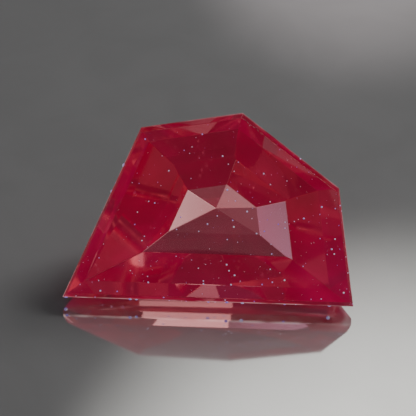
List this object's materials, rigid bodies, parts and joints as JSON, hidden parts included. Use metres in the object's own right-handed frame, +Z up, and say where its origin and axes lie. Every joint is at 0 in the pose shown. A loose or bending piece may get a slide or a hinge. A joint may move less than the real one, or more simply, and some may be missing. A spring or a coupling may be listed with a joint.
{
  "type": "cut spinel",
  "caption": "Crimson faceted spinel: a lopsided step cut with a flat table and a low crown, lying on one of its lower facets.",
  "frame": {"origin": "bottom centre of the stone's box, on the level facet that the stone lies on", "axes": "+X along the long straight side of the outline, +Z up, and the table faces -Y and up, 37 degrees above the horizon"},
  "size_m": [0.01, 0.0052, 0.0056],
  "materials": {
    "crystal": "polished"
  },
  "bodies": {
    "root": {"spinel": "crystal"}
  },
  "joints": []
}
